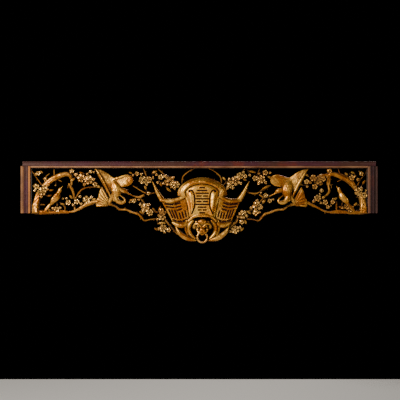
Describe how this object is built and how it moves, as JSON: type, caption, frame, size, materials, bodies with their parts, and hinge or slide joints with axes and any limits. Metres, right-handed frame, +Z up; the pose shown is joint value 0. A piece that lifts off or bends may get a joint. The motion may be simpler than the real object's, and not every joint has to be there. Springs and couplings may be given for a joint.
{
  "type": "carved giltwood frieze",
  "caption": "Hanging frieze: a lacquered frame, open below, with a pierced gilt carving of cranes, magpies, plum branches and a draped cartouche.",
  "frame": {"origin": "middle of the top rail's flat back face", "axes": "+X to the right along the rail, +Z up, the carved front faces -Y and the back faces +Y"},
  "size_m": [2, 0.0832, 0.4564],
  "materials": {
    "gilt_carving": "worn water gilding over red-brown bole, with dark dirt in the hollows",
    "frame_lacquer": "worn brown-purple lacquer with a gilt inner lip"
  },
  "bodies": {
    "root": {"top_rail": "frame_lacquer", "left_stile": "frame_lacquer", "right_stile": "frame_lacquer", "carved_board": "gilt_carving"}
  },
  "joints": []
}
